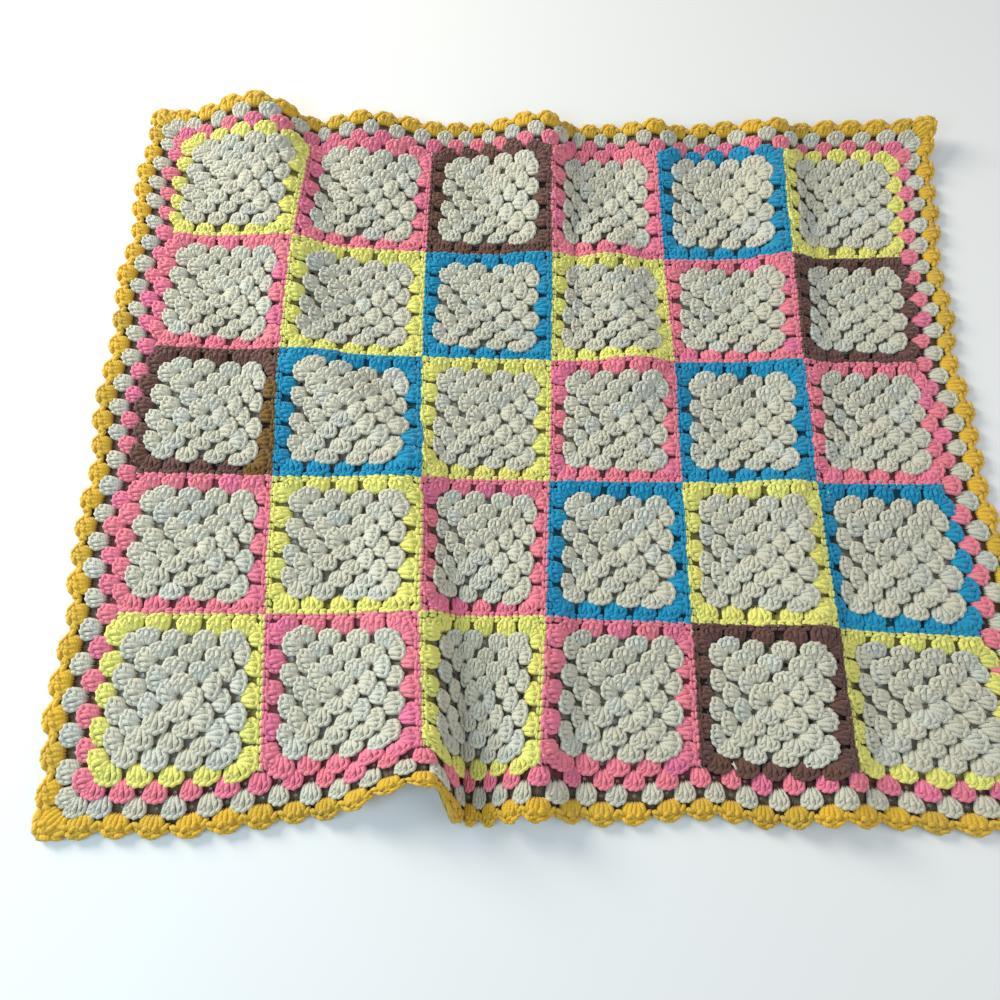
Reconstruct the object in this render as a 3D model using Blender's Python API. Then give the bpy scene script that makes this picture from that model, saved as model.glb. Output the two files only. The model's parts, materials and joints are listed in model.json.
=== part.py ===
"""Crochet baby blanket, laid out in soft folds.

Thirty granny squares are sewn edge to edge, and a border of three worked
rounds runs round them: pink clusters, cream clusters and pointed gold shells.
Every piece is made flat, in cloth coordinates, and is then laid in its folds.

Units are metres and +Z is up. The blanket lies on the plane Z = 0, its long
side along X, and its back edge is at +Y.
"""

import math
from typing import NamedTuple

import bmesh
import bpy
from mathutils import Matrix

# Driving dimensions
COLUMNS = 6
ROWS = 5
SQUARE = 0.115  # pitch of the squares, seam to seam
CLUSTERS = 5  # along each side of a square
CLUSTER = SQUARE / CLUSTERS  # pitch of the clusters along an edge
ROUND = CLUSTER / 2  # depth of one worked round
OUTER_LINE = 3 * ROUND  # from a square's middle to the last grid line inside its edge
PIECE_GAP = 0.0003  # between two neighbouring pieces
NEAR = 0.00001  # places closer than this are the same
LEAST_CELL = 0.002  # no two lines of a grid lie closer than this
THICKNESS = 0.0045  # of the worked yarn at the seams
PUFF = 0.0012  # how much thicker a square is at its middle
MOST_STRETCH = 1.9  # limit on the upright thickness of a steep slope

BOW = 0.004  # how much further an outer seam bows out at a square's middle than at its corners

# The widest see-through gaps of a square lie between the clusters of its third round
GAP_LINE = 0.0286  # from the square's middle
GAP_TWIST = math.radians(-6)  # the inner rounds are turned a little
GAP_HALF = 0.0034

# Border rounds: distances of their edges from the outer seams
PINK_OUTER = 0.0094
CREAM_OUTER = 0.0200
SHELL_VALLEY = 0.0262
SHELL_TIP = 0.0325
SHELL_BLUNTNESS = 1.7
SHELL_CUTS = 3  # points between two tips of the shell edge
CORNER_REACH = 0.0290
BORDER_GAP_HALF = 0.0024
GAP_EVERY = 2  # one gap in so many is cut through in the border

SQUARE_COLOURS = (
    ("yellow", "pink", "brown", "pink", "blue", "yellow"),
    ("pink", "yellow", "blue", "yellow", "pink", "brown"),
    ("brown", "blue", "yellow", "pink", "blue", "pink"),
    ("pink", "yellow", "pink", "blue", "yellow", "blue"),
    ("yellow", "pink", "yellow", "pink", "brown", "yellow"),
)

YARN_COLOURS = {
    "cream": (0.56, 0.55, 0.46),
    "yellow": (0.75, 0.70, 0.10),
    "pink": (0.80, 0.14, 0.20),
    "brown": (0.13, 0.05, 0.05),
    "blue": (0.00, 0.20, 0.42),
    "gold": (0.78, 0.42, 0.03),
}
YARN_ROUGHNESS = 0.9


class UprightSeam(NamedTuple):
    """Where a seam that runs from back to front lies: X at three places."""

    back: float
    middle: float
    front: float


class CrossSeam(NamedTuple):
    """Where a seam that runs from left to right lies: Y at three places."""

    left: float
    middle: float
    right: float


class Border(NamedTuple):
    """How much of its flat depth the border keeps on each side as it lies."""

    left: float
    right: float
    back: float
    front: float


class Fold(NamedTuple):
    """One soft ridge of the cloth. Places are in squares from the back left corner."""

    name: str
    from_across: float
    from_down: float
    to_across: float
    to_down: float
    height_from: float
    height_to: float
    width_left: float
    width_right: float
    fade_from: float
    fade_to: float
    draw_in: float


UPRIGHT_SEAMS = (
    UprightSeam(-0.3525, -0.3433, -0.3274),
    UprightSeam(-0.2320, -0.2289, -0.2047),
    UprightSeam(-0.1158, -0.1092, -0.0893),
    UprightSeam(-0.0057, -0.0003, -0.0087),
    UprightSeam(0.0976, 0.1080, 0.1120),
    UprightSeam(0.2178, 0.2201, 0.2250),
    UprightSeam(0.3421, 0.3351, 0.3680),
)

CROSS_SEAMS = (
    CrossSeam(0.2753, 0.2818, 0.3069),
    CrossSeam(0.1652, 0.1596, 0.1822),
    CrossSeam(0.0500, 0.0547, 0.0710),
    CrossSeam(-0.0651, -0.0567, -0.0443),
    CrossSeam(-0.1781, -0.1696, -0.1720),
    CrossSeam(-0.3036, -0.2839, -0.2846),
)

MIDDLE_X = 0.00940  # middle of the laid blanket's box, in the frame of the seams
MIDDLE_Y = 0.00146
BORDER_LAID = Border(left=1.0, right=1.05, back=0.95, front=0.97)

FOLDS = (
    #    name                from          to            heights       widths        fades       draw
    Fold("back left arch", 0.62, -0.40, 0.98, 1.05, 0.027, 0.010, 0.085, 0.046, 0.00, 0.10, 0.0),
    Fold("first seam", 0.98, 1.05, 1.06, 2.10, 0.010, 0.007, 0.050, 0.034, 0.06, 0.08, 0.0),
    Fold("back second square", 1.42, -0.40, 1.50, 0.35, 0.013, 0.005, 0.050, 0.085, 0.00, 0.08, 0.0),
    Fold("back third seam", 2.96, -0.40, 2.99, 1.10, 0.022, 0.009, 0.070, 0.036, 0.00, 0.10, 0.0),
    Fold("back fourth seam", 3.98, -0.40, 4.02, 0.60, 0.014, 0.004, 0.050, 0.036, 0.00, 0.06, 0.0),
    Fold("back fifth seam", 4.97, -0.40, 5.00, 2.60, 0.016, 0.006, 0.055, 0.034, 0.00, 0.10, 0.0),
    Fold("second row rise", 3.50, 0.92, 3.68, 2.00, 0.009, 0.010, 0.050, 0.045, 0.05, 0.08, 0.0),
    Fold("middle diagonal", 1.30, 2.20, 1.90, 2.86, 0.010, 0.014, 0.042, 0.034, 0.05, 0.06, 0.0),
    Fold("second seam", 1.84, 3.05, 2.00, 4.00, 0.009, 0.016, 0.050, 0.036, 0.05, 0.08, 0.0),
    Fold("front second seam", 2.00, 4.00, 2.02, 5.40, 0.016, 0.036, 0.085, 0.040, 0.08, 0.00, 0.028),
    Fold("front drawn in", 1.55, 4.00, 1.62, 5.40, 0.000, 0.000, 0.100, 0.070, 0.08, 0.00, 0.014),
    Fold("front third seam", 3.00, 3.80, 2.98, 5.40, 0.006, 0.018, 0.055, 0.034, 0.08, 0.00, 0.0),
    Fold("right fourth row", 4.80, 3.10, 4.84, 4.10, 0.008, 0.010, 0.060, 0.040, 0.06, 0.06, 0.0),
    Fold("right fifth row", 4.86, 4.10, 4.90, 5.40, 0.010, 0.013, 0.060, 0.036, 0.06, 0.00, 0.0),
    Fold("back edge curl", 3.25, -0.45, 6.60, -0.45, 0.002, 0.014, 0.060, 0.060, 0.05, 0.00, 0.0),
    Fold("back right corner", 5.60, -0.40, 6.40, -0.36, 0.004, 0.020, 0.080, 0.080, 0.04, 0.00, 0.0),
)
FOLD_JOIN = 3.0  # how sharply two ridges meet
DRAW_NARROW = 2  # the edge is drawn in over a narrower stretch than the ridge
DRAW_GROWTH = 2  # and mostly near the ridge's far end
SLOPE_STEP = 0.0015  # over which a slope is measured


def through_three(first: float, second: float, third: float, share: float) -> float:
    """A smooth curve through values at 0, a half and 1."""
    return (
        first * (1 - share) * (1 - 2 * share)
        + second * 4 * share * (1 - share)
        + third * share * (2 * share - 1)
    )


def between_seams(places: list[float], position: float, before: float, after: float) -> float:
    """A place between numbered seams; outside them it goes on by a step for each square."""
    last = len(places) - 1
    if position < 0:
        return places[0] + position * before
    if position > last:
        return places[last] + (position - last) * after
    lower = min(int(position), last - 1)
    share = position - lower
    return places[lower] * (1 - share) + places[lower + 1] * share


def ease(share: float) -> float:
    """A smooth step from 0 to 1."""
    share = min(max(share, 0.0), 1.0)
    return 0.5 - 0.5 * math.cos(math.pi * share)


def flat_place(across: float, down: float) -> tuple[float, float]:
    """Cloth coordinates of a place that is given in squares from the back left corner."""
    return (across - COLUMNS / 2) * SQUARE, (ROWS / 2 - down) * SQUARE


def ridge(fold: Fold, u: float, v: float) -> tuple[float, float]:
    """The height that a fold gives a point of the cloth, and how far it draws it to the back."""
    start_u, start_v = flat_place(fold.from_across, fold.from_down)
    end_u, end_v = flat_place(fold.to_across, fold.to_down)
    length = math.hypot(end_u - start_u, end_v - start_v)
    along_u = (end_u - start_u) / length
    along_v = (end_v - start_v) / length
    run = (u - start_u) * along_u + (v - start_v) * along_v
    side = (v - start_v) * along_u - (u - start_u) * along_v
    width = fold.width_right if side > 0 else fold.width_left
    profile = 1 - ease(abs(side) / width)
    share = min(max(run / length, 0.0), 1.0)
    if fold.fade_from:
        profile *= ease(1 + run / fold.fade_from)
    if fold.fade_to:
        profile *= ease(1 + (length - run) / fold.fade_to)
    height = fold.height_from * (1 - share) + fold.height_to * share
    return height * profile, fold.draw_in * profile**DRAW_NARROW * share**DRAW_GROWTH


def cloth_height(u: float, v: float) -> float:
    """Height of the cloth's underside over the floor."""
    total = sum(ridge(fold, u, v)[0] ** FOLD_JOIN for fold in FOLDS)
    return total ** (1 / FOLD_JOIN)


def bow(place: float) -> float:
    """How far an outer seam bows out, at a place along it that is counted in squares."""
    return BOW * (math.sin(math.pi * place) ** 2 - 0.5)


def plan_place(u: float, v: float) -> tuple[float, float]:
    """Where a point of the flat cloth lies, seen from above."""
    across = u / SQUARE + COLUMNS / 2
    down = ROWS / 2 - v / SQUARE
    uprights = [through_three(*seam, down / ROWS) for seam in UPRIGHT_SEAMS]
    crossings = [through_three(*seam, across / COLUMNS) for seam in CROSS_SEAMS]
    uprights[0] -= bow(down)
    uprights[-1] += bow(down)
    crossings[0] += bow(across)
    crossings[-1] -= bow(across)
    drawn = sum(ridge(fold, u, v)[1] for fold in FOLDS if fold.draw_in)
    x = between_seams(
        uprights, across, SQUARE * BORDER_LAID.left, SQUARE * BORDER_LAID.right
    )
    y = between_seams(
        crossings, down, -SQUARE * BORDER_LAID.back, -SQUARE * BORDER_LAID.front
    )
    return x - MIDDLE_X, y + drawn - MIDDLE_Y


def upright_share(u: float, v: float) -> float:
    """Upright thickness over true thickness, which grows with the slope."""
    rise_u = cloth_height(u + SLOPE_STEP, v) - cloth_height(u - SLOPE_STEP, v)
    rise_v = cloth_height(u, v + SLOPE_STEP) - cloth_height(u, v - SLOPE_STEP)
    slope = math.hypot(rise_u, rise_v) / (2 * SLOPE_STEP)
    return min(math.hypot(1, slope), MOST_STRETCH)


def puff(u: float, v: float) -> float:
    """Extra thickness at the middle of each square, none on the border."""
    across = u / SQUARE + COLUMNS / 2
    down = ROWS / 2 - v / SQUARE
    if not (0 < across < COLUMNS and 0 < down < ROWS):
        return 0.0
    crown = math.sin(math.pi * (across % 1)) * math.sin(math.pi * (down % 1))
    return PUFF * crown


def laid(u: float, v: float, top: bool) -> tuple[float, float, float]:
    """The place of a point of the flat cloth once the blanket lies in its folds."""
    x, y = plan_place(u, v)
    z = cloth_height(u, v)
    if top:
        z += THICKNESS * upright_share(u, v) + puff(u, v)
    return x, y, z


def yarn_material(colour: str) -> bpy.types.Material:
    """The material of one yarn, made once."""
    name = f"yarn_{colour}"
    material = bpy.data.materials.get(name)
    if material is None:
        material = bpy.data.materials.new(name)
        material.use_nodes = True
        shader = material.node_tree.nodes["Principled BSDF"]
        shader.inputs["Base Color"].default_value = (*YARN_COLOURS[colour], 1)
        shader.inputs["Roughness"].default_value = YARN_ROUGHNESS
        shader.inputs["Metallic"].default_value = 0.0
        material.diffuse_color = (*YARN_COLOURS[colour], 1)
    return material


def grid_on_lines(lines_u: list[float], lines_v: list[float]) -> bmesh.types.BMesh:
    """A flat grid whose lines lie at the given places."""
    mesh = bmesh.new()
    columns = len(lines_u) - 1
    rows = len(lines_v) - 1
    bmesh.ops.create_grid(mesh, x_segments=columns, y_segments=rows, size=0.5)
    for point in mesh.verts:
        column = round((point.co.x + 0.5) * columns)
        row = round((point.co.y + 0.5) * rows)
        point.co = (lines_u[column], lines_v[row], 0)
    return mesh


def drape(
    name: str, mesh: bmesh.types.BMesh, colour: str, home: bpy.types.Collection
) -> bpy.types.Object:
    """Gives a flat open mesh its thickness and lays it in the folds."""
    bmesh.ops.triangulate(mesh, faces=mesh.faces[:])
    bmesh.ops.recalc_face_normals(mesh, faces=mesh.faces[:])
    raised = bmesh.ops.extrude_face_region(mesh, geom=mesh.faces[:])
    upper = {item for item in raised["geom"] if isinstance(item, bmesh.types.BMVert)}
    for point in mesh.verts:
        point.co = laid(point.co.x, point.co.y, point in upper)
    bmesh.ops.recalc_face_normals(mesh, faces=mesh.faces[:])
    data = bpy.data.meshes.new(name)
    mesh.to_mesh(data)
    mesh.free()
    data.materials.append(yarn_material(colour))
    piece = bpy.data.objects.new(name, data)
    home.objects.link(piece)
    return piece


def mirrored(distances: list[float]) -> list[float]:
    """The distances on both sides of zero, in rising order."""
    return [-distance for distance in reversed(distances)] + list(distances)


def granny_square(row: int, column: int, home: bpy.types.Collection) -> bpy.types.Object:
    """One square, with the eight widest gaps of its third round open."""
    lines = mirrored([ROUND, OUTER_LINE, (SQUARE - PIECE_GAP) / 2])
    mesh = grid_on_lines(lines, lines)
    gaps = [
        point
        for point in mesh.verts
        if math.isclose(max(map(abs, point.co.xy)), OUTER_LINE, abs_tol=NEAR)
        and math.isclose(min(map(abs, point.co.xy)), ROUND, abs_tol=NEAR)
    ]
    for point in gaps:
        point.co.x = math.copysign(min(abs(point.co.x), GAP_LINE), point.co.x)
        point.co.y = math.copysign(min(abs(point.co.y), GAP_LINE), point.co.y)
    bmesh.ops.rotate(mesh, verts=gaps, matrix=Matrix.Rotation(GAP_TWIST, 3, "Z"))
    opened = bmesh.ops.bevel(
        mesh, geom=gaps, offset=GAP_HALF, segments=1, profile=0.5, affect="VERTICES"
    )
    bmesh.ops.delete(mesh, geom=opened["faces"], context="FACES_ONLY")
    middle_u, middle_v = flat_place(column + 0.5, row + 0.5)
    bmesh.ops.translate(mesh, verts=mesh.verts[:], vec=(middle_u, middle_v, 0))
    name = f"granny_square_r{row + 1}_c{column + 1}"
    return drape(name, mesh, SQUARE_COLOURS[row][column], home)


def round_lines(squares: int, inner: float, outer: float) -> list[float]:
    """Lines across a border round: one for each cluster, and its inner and outer edge."""
    half = squares * SQUARE / 2
    places = [CLUSTER * number - half for number in range(squares * CLUSTERS + 1)]
    stations = [place for place in places if half + inner - abs(place) > LEAST_CELL]
    return [-half - outer, -half - inner] + stations + [half + inner, half + outer]


def border_round(inner: float, outer: float) -> bmesh.types.BMesh:
    """A flat rectangular ring round the squares, from inner to outer."""
    lines_u = round_lines(COLUMNS, inner, outer)
    lines_v = round_lines(ROWS, inner, outer)
    mesh = grid_on_lines(lines_u, lines_v)
    half_u = COLUMNS * SQUARE / 2 + inner
    half_v = ROWS * SQUARE / 2 + inner
    inside = []
    for face in mesh.faces:
        middle = face.calc_center_median()
        if abs(middle.x) < half_u and abs(middle.y) < half_v:
            inside.append(face)
    bmesh.ops.delete(mesh, geom=inside, context="FACES")
    return mesh


def open_border_gaps(mesh: bmesh.types.BMesh) -> None:
    """Cuts every second gap between the clusters of a border round."""
    half_u = COLUMNS * SQUARE / 2
    half_v = ROWS * SQUARE / 2
    for face in mesh.faces[:]:
        middle = face.calc_center_median()
        on_long_side = abs(middle.x) < half_u
        on_short_side = abs(middle.y) < half_v
        place = middle.x + half_u if on_long_side else middle.y + half_v
        if on_long_side == on_short_side or int(place / CLUSTER) % GAP_EVERY:
            continue
        bmesh.ops.inset_individual(mesh, faces=[face], thickness=BORDER_GAP_HALF)
        for point in face.verts:
            point.co.x = middle.x + math.copysign(BORDER_GAP_HALF, point.co.x - middle.x)
            point.co.y = middle.y + math.copysign(BORDER_GAP_HALF, point.co.y - middle.y)
        bmesh.ops.delete(mesh, geom=[face], context="FACES_ONLY")


def pink_round(home: bpy.types.Collection) -> bpy.types.Object:
    """The first border round, worked into the squares and the seams."""
    mesh = border_round(PIECE_GAP / 2, PINK_OUTER - PIECE_GAP / 2)
    open_border_gaps(mesh)
    return drape("border_round_1_pink", mesh, "pink", home)


def cream_round(home: bpy.types.Collection) -> bpy.types.Object:
    """The second border round."""
    mesh = border_round(PINK_OUTER + PIECE_GAP / 2, CREAM_OUTER - PIECE_GAP / 2)
    return drape("border_round_2_cream", mesh, "cream", home)


def shell_reach(place: float) -> float:
    """How far the pointed shells reach at a place that is measured from a tip."""
    phase = abs((place + ROUND) % CLUSTER - ROUND) / ROUND
    return SHELL_VALLEY + (SHELL_TIP - SHELL_VALLEY) * (1 - phase**SHELL_BLUNTNESS)


def gold_round(home: bpy.types.Collection) -> bpy.types.Object:
    """The last border round: pointed shells, one for each cluster of the first round."""
    mesh = border_round(CREAM_OUTER + PIECE_GAP / 2, SHELL_VALLEY)
    half_u = COLUMNS * SQUARE / 2
    half_v = ROWS * SQUARE / 2

    def on_long_edge(point: bmesh.types.BMVert) -> bool:
        return math.isclose(abs(point.co.y), half_v + SHELL_VALLEY, abs_tol=NEAR)

    def on_short_edge(point: bmesh.types.BMVert) -> bool:
        return math.isclose(abs(point.co.x), half_u + SHELL_VALLEY, abs_tol=NEAR)

    rim = [
        edge
        for edge in mesh.edges
        if edge.calc_length() > ROUND
        and (all(map(on_long_edge, edge.verts)) or all(map(on_short_edge, edge.verts)))
    ]
    bmesh.ops.subdivide_edges(mesh, edges=rim, cuts=SHELL_CUTS)
    for point in mesh.verts:
        on_long = on_long_edge(point)
        on_short = on_short_edge(point)
        if on_long and on_short:
            point.co.x = math.copysign(half_u + CORNER_REACH, point.co.x)
            point.co.y = math.copysign(half_v + CORNER_REACH, point.co.y)
        elif on_long:
            reach = shell_reach(point.co.x + half_u)
            point.co.y = math.copysign(half_v + reach, point.co.y)
        elif on_short:
            reach = shell_reach(point.co.y + half_v)
            point.co.x = math.copysign(half_u + reach, point.co.x)
    return drape("border_round_3_gold", mesh, "gold", home)


def clear_scene() -> None:
    """Removes what is in the scene."""
    for item in list(bpy.data.objects):
        bpy.data.objects.remove(item, do_unlink=True)


def build() -> None:
    """Makes the blanket."""
    clear_scene()
    home = bpy.data.collections.new("crochet_baby_blanket")
    bpy.context.scene.collection.children.link(home)
    for row in range(ROWS):
        for column in range(COLUMNS):
            granny_square(row, column, home)
    pink_round(home)
    cream_round(home)
    gold_round(home)


build()
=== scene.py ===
"""Crochet baby blanket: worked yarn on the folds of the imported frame.

Every stitch is placed on the flat cloth and is then laid in the folds of the
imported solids. Cloth coordinates are metres: u to the right and v to the back,
from the middle of the squares. Units are metres and +Z is up.
"""

import json
import logging
import math
import random
from dataclasses import dataclass, field
from enum import Enum, IntEnum
from typing import Iterator, NamedTuple, Sequence

import bmesh
import bpy
import numpy as np
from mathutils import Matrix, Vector
from mathutils.geometry import delaunay_2d_cdt

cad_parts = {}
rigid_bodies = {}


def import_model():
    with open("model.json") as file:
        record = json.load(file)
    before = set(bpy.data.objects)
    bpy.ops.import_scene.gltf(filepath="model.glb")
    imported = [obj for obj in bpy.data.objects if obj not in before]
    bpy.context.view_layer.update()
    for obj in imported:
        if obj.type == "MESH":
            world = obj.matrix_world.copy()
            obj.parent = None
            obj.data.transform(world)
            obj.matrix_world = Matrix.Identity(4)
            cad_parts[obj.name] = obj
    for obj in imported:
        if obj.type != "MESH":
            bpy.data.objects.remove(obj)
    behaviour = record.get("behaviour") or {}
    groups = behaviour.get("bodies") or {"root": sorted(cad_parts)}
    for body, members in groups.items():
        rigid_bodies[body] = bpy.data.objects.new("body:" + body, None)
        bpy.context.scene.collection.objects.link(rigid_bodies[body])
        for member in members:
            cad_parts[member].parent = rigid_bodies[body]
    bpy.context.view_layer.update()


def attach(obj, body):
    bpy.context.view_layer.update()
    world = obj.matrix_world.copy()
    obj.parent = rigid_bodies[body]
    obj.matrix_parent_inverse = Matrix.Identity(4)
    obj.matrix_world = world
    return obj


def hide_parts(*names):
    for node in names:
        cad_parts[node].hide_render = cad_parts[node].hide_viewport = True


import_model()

BODY = "root"

# The flat cloth
COLUMNS = 6
ROWS = 5
SQUARE = 0.115  # pitch of the squares, seam to seam
ROUNDS = 5  # worked rounds in a square
PITCH = SQUARE / ROUNDS  # from one cluster to the next along a side
HALF_PITCH = PITCH / 2
ROUND_DEPTH = 0.01015  # from the top of one round to the top of the next
CLUSTER_LENGTH = 0.0168  # of the worked form, and of the border's clusters
EDGE_BACK = 0.0008  # from a seam back to the last round's top
HALF_WIDTH = COLUMNS * SQUARE / 2
HALF_DEPTH = ROWS * SQUARE / 2
PINK_TOP = 0.0094  # from the outer seams out to the tops of the border rounds
CREAM_TOP = 0.0202
SHELL_VALLEY = 0.0262  # between two shells
SHELL_TIP = 0.0325
SHELL_BLUNTNESS = 1.45  # power of the shells' edge: 1 is pointed, 2 is round
CORNER_REACH = 0.0290  # of a border corner, from both outer seams
BOW = 0.004  # how much further an outer seam lies out at a square's middle than at its corners
UNEVEN = 0.0006  # most that a cluster lies off its place
DEEP = 0.0015  # height over the cloth's underside that the least painted light reaches
OPEN = 0.0015  # from there to the full painted light, above and below

STRAND_MAP = "strand"  # what the meshes carry for the yarns' nodes
TINT = "tint"
# The mesh attribute that carries each point's share of painted light: 0 gets the painted shade colour, 1 the
# full colour
PAINTED_LIGHT = "crown"

Place = tuple[float, float]
Colour = tuple[float, float, float]


class Yarn(Enum):
    """The six yarns, by the name of their slot in the record."""

    CREAM = "yarn_cream"
    YELLOW = "yarn_yellow"
    PINK = "yarn_pink"
    BROWN = "yarn_brown"
    BLUE = "yarn_blue"
    GOLD = "yarn_gold"


SQUARE_YARNS = (
    (Yarn.YELLOW, Yarn.PINK, Yarn.BROWN, Yarn.PINK, Yarn.BLUE, Yarn.YELLOW),
    (Yarn.PINK, Yarn.YELLOW, Yarn.BLUE, Yarn.YELLOW, Yarn.PINK, Yarn.BROWN),
    (Yarn.BROWN, Yarn.BLUE, Yarn.YELLOW, Yarn.PINK, Yarn.BLUE, Yarn.PINK),
    (Yarn.PINK, Yarn.YELLOW, Yarn.PINK, Yarn.BLUE, Yarn.YELLOW, Yarn.BLUE),
    (Yarn.YELLOW, Yarn.PINK, Yarn.YELLOW, Yarn.PINK, Yarn.BROWN, Yarn.YELLOW),
)

YARN_ENDS = ((4.23, 4.93, 0.9), (5.08, 3.08, 0.2), (0.87, 4.69, 2.0))  # across, down in squares, turn
OTHER_SKEIN = (2, 0)  # the square whose right side was worked on in a lighter yarn


class Form(IntEnum):
    """The worked forms, in the order of their names in the collection of forms."""

    CLUSTER_A = 0
    CLUSTER_B = 1
    CLUSTER_C = 2
    CHAIN = 3
    SHELL = 4
    WHIP = 5


CLUSTER_FORMS = (Form.CLUSTER_A, Form.CLUSTER_B, Form.CLUSTER_C)


class UprightSeam(NamedTuple):
    """Where a seam that runs from back to front lies: X at three places."""

    back: float
    middle: float
    front: float


class CrossSeam(NamedTuple):
    """Where a seam that runs from left to right lies: Y at three places."""

    left: float
    middle: float
    right: float


class Border(NamedTuple):
    """How much of its flat depth the border keeps on each side as it lies."""

    left: float
    right: float
    back: float
    front: float


class Fold(NamedTuple):
    """One soft ridge of the cloth. Places are in squares from the back left corner."""

    from_across: float
    from_down: float
    to_across: float
    to_down: float
    height_from: float
    height_to: float
    width_left: float
    width_right: float
    fade_from: float
    fade_to: float
    draw_in: float


UPRIGHT_SEAMS = (
    UprightSeam(-0.3525, -0.3433, -0.3274),
    UprightSeam(-0.2320, -0.2289, -0.2047),
    UprightSeam(-0.1158, -0.1092, -0.0893),
    UprightSeam(-0.0057, -0.0003, -0.0087),
    UprightSeam(0.0976, 0.1080, 0.1120),
    UprightSeam(0.2178, 0.2201, 0.2250),
    UprightSeam(0.3421, 0.3351, 0.3680),
)

CROSS_SEAMS = (
    CrossSeam(0.2753, 0.2818, 0.3069),
    CrossSeam(0.1652, 0.1596, 0.1822),
    CrossSeam(0.0500, 0.0547, 0.0710),
    CrossSeam(-0.0651, -0.0567, -0.0443),
    CrossSeam(-0.1781, -0.1696, -0.1720),
    CrossSeam(-0.3036, -0.2839, -0.2846),
)

FOLDS = (
    # In pairs: from, to, heights, widths and fades. Then how far it draws the cloth in.
    Fold(0.62, -0.40, 0.98, 1.05, 0.027, 0.010, 0.085, 0.046, 0.00, 0.10, 0.0),  # back left arch
    Fold(0.98, 1.05, 1.06, 2.10, 0.010, 0.007, 0.050, 0.034, 0.06, 0.08, 0.0),  # first seam
    Fold(1.42, -0.40, 1.50, 0.35, 0.013, 0.005, 0.050, 0.085, 0.00, 0.08, 0.0),  # back second square
    Fold(2.96, -0.40, 2.99, 1.10, 0.022, 0.009, 0.070, 0.036, 0.00, 0.10, 0.0),  # back third seam
    Fold(3.98, -0.40, 4.02, 0.60, 0.014, 0.004, 0.050, 0.036, 0.00, 0.06, 0.0),  # back fourth seam
    Fold(4.97, -0.40, 5.00, 2.60, 0.016, 0.006, 0.055, 0.034, 0.00, 0.10, 0.0),  # back fifth seam
    Fold(3.50, 0.92, 3.68, 2.00, 0.009, 0.010, 0.050, 0.045, 0.05, 0.08, 0.0),  # second row rise
    Fold(1.30, 2.20, 1.90, 2.86, 0.010, 0.014, 0.042, 0.034, 0.05, 0.06, 0.0),  # middle diagonal
    Fold(1.84, 3.05, 2.00, 4.00, 0.009, 0.016, 0.050, 0.036, 0.05, 0.08, 0.0),  # second seam
    Fold(2.00, 4.00, 2.02, 5.40, 0.016, 0.036, 0.085, 0.040, 0.08, 0.00, 0.028),  # front second seam
    Fold(1.55, 4.00, 1.62, 5.40, 0.000, 0.000, 0.100, 0.070, 0.08, 0.00, 0.014),  # front drawn in
    Fold(3.00, 3.80, 2.98, 5.40, 0.006, 0.018, 0.055, 0.034, 0.08, 0.00, 0.0),  # front third seam
    Fold(4.80, 3.10, 4.84, 4.10, 0.008, 0.010, 0.060, 0.040, 0.06, 0.06, 0.0),  # right fourth row
    Fold(4.86, 4.10, 4.90, 5.40, 0.010, 0.013, 0.060, 0.036, 0.06, 0.00, 0.0),  # right fifth row
    Fold(3.25, -0.45, 6.60, -0.45, 0.002, 0.014, 0.060, 0.060, 0.05, 0.00, 0.0),  # back edge curl
    Fold(5.60, -0.40, 6.40, -0.36, 0.004, 0.020, 0.080, 0.080, 0.04, 0.00, 0.0),  # back right corner
)


def in_squares(u: float, v: float) -> Place:
    """A place of the flat cloth in squares, across and down from the back left corner."""
    return u / SQUARE + COLUMNS / 2, ROWS / 2 - v / SQUARE


def on_cloth(across: float, down: float) -> Place:
    """The place of the flat cloth that lies so many squares across and down."""
    return (across - COLUMNS / 2) * SQUARE, (ROWS / 2 - down) * SQUARE


def ease(share: np.ndarray) -> np.ndarray:
    """A smooth step from 0 to 1."""
    return 0.5 - 0.5 * np.cos(np.pi * np.clip(share, 0, 1))


def bow(place: np.ndarray) -> np.ndarray:
    """How far an outer seam bows out, at places along it that are counted in squares."""
    return BOW * (np.sin(np.pi * place) ** 2 - 0.5)


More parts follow.
